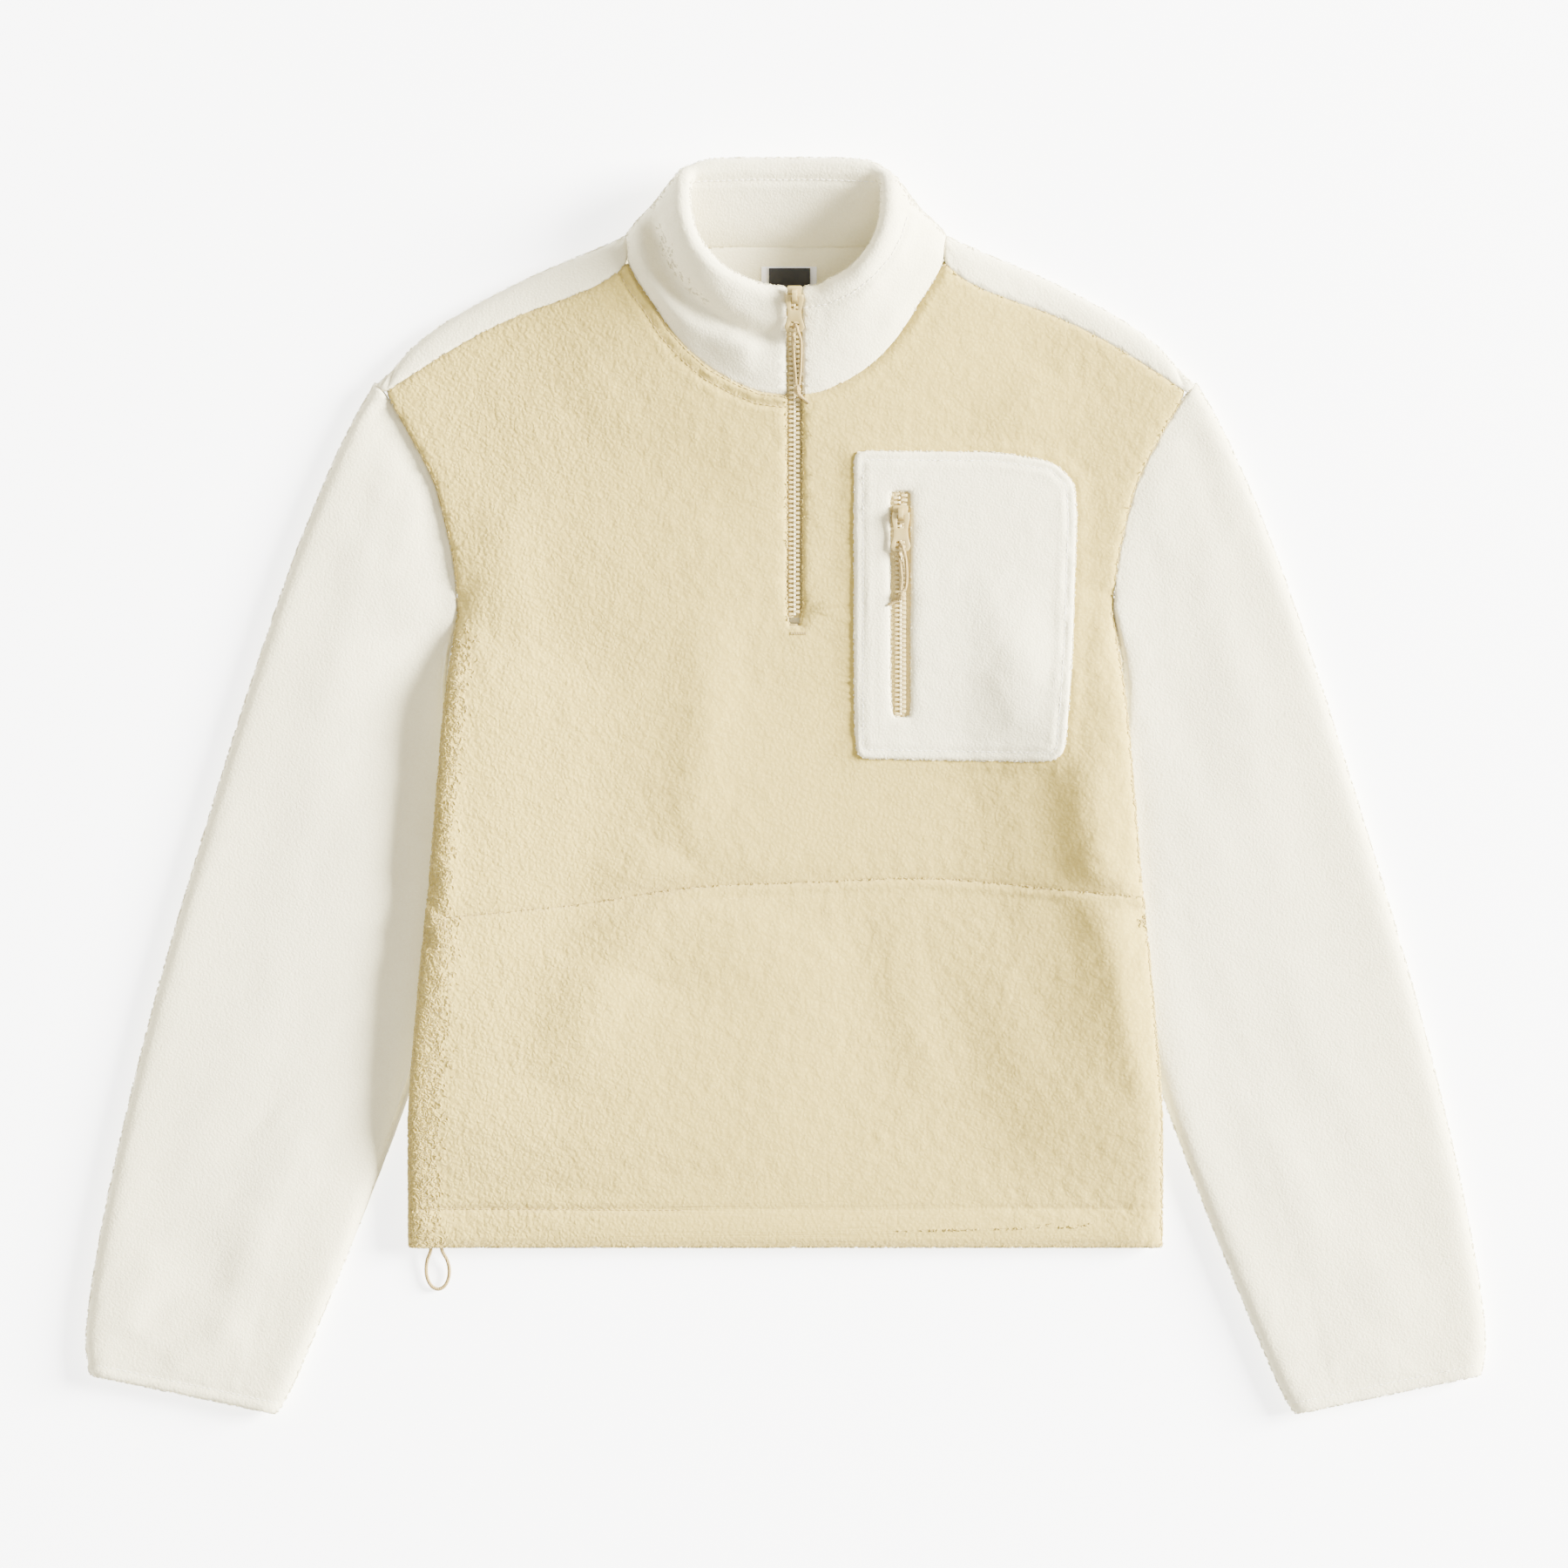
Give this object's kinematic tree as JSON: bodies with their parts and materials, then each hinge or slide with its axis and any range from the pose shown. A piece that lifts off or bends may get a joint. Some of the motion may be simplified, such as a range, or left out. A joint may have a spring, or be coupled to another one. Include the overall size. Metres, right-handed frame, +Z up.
{
  "type": "half-zip fleece pullover",
  "caption": "Half-zip fleece pullover laid flat: curled-pile front, smooth-pile sleeves, back and stand-up collar, zipped chest pocket, swinging zip pulls and a hem drawcord.",
  "frame": {"origin": "on the surface the garment lies on, at the middle of the box round the cloth and metal, the three cords left out", "axes": "+X to the garment's own left sleeve, +Y from the hem to the collar, +Z up through the front"},
  "size_m": [0.8374, 0.7488, 0.045],
  "materials": {
    "back": "smooth short fleece pile",
    "front_upper": "curled high-pile fleece",
    "front_lower": "curled high-pile fleece",
    "left_sleeve": "smooth short fleece pile",
    "right_sleeve": "smooth short fleece pile",
    "collar": "smooth short fleece pile",
    "chest_pocket": "smooth short fleece pile",
    "centre_zip_tape": "woven tape",
    "centre_zip_chain": "moulded teeth",
    "centre_zip_slider": "enamel",
    "centre_zip_pull": "enamel",
    "centre_pull_cord": "braided cord",
    "centre_pull_knot": "braided cord",
    "pocket_zip_tape": "woven tape",
    "pocket_zip_chain": "moulded teeth",
    "pocket_zip_slider": "enamel",
    "pocket_zip_pull": "enamel",
    "pocket_pull_cord": "braided cord",
    "pocket_pull_knot": "braided cord",
    "neck_label_base": "woven",
    "neck_label": "woven",
    "hem_drawcord": "elastic cord"
  },
  "bodies": {
    "garment": {"back": "back", "front_upper": "front_upper", "front_lower": "front_lower", "left_sleeve": "left_sleeve", "right_sleeve": "right_sleeve", "collar": "collar", "chest_pocket": "chest_pocket", "centre_zip_tape": "centre_zip_tape", "centre_zip_chain": "centre_zip_chain", "centre_zip_slider": "centre_zip_slider", "pocket_zip_tape": "pocket_zip_tape", "pocket_zip_chain": "pocket_zip_chain", "pocket_zip_slider": "pocket_zip_slider", "neck_label_base": "neck_label_base", "neck_label": "neck_label", "hem_drawcord": "hem_drawcord"},
    "centre_pull": {"centre_zip_pull": "centre_zip_pull", "centre_pull_cord": "centre_pull_cord", "centre_pull_knot": "centre_pull_knot"},
    "pocket_pull": {"pocket_zip_pull": "pocket_zip_pull", "pocket_pull_cord": "pocket_pull_cord", "pocket_pull_knot": "pocket_pull_knot"}
  },
  "joints": [
    {"name": "centre_pull_swing", "type": "hinge", "parent": "garment", "child": "centre_pull", "pos_m": [0.0052, 0.29013, 0.03833], "axis": [-1, 0, 0], "range_deg": [0, 150]},
    {"name": "pocket_pull_swing", "type": "hinge", "parent": "garment", "child": "pocket_pull", "pos_m": [0.0685, 0.1625, 0.01705], "axis": [-1, 0, 0], "range_deg": [0, 150]}
  ]
}
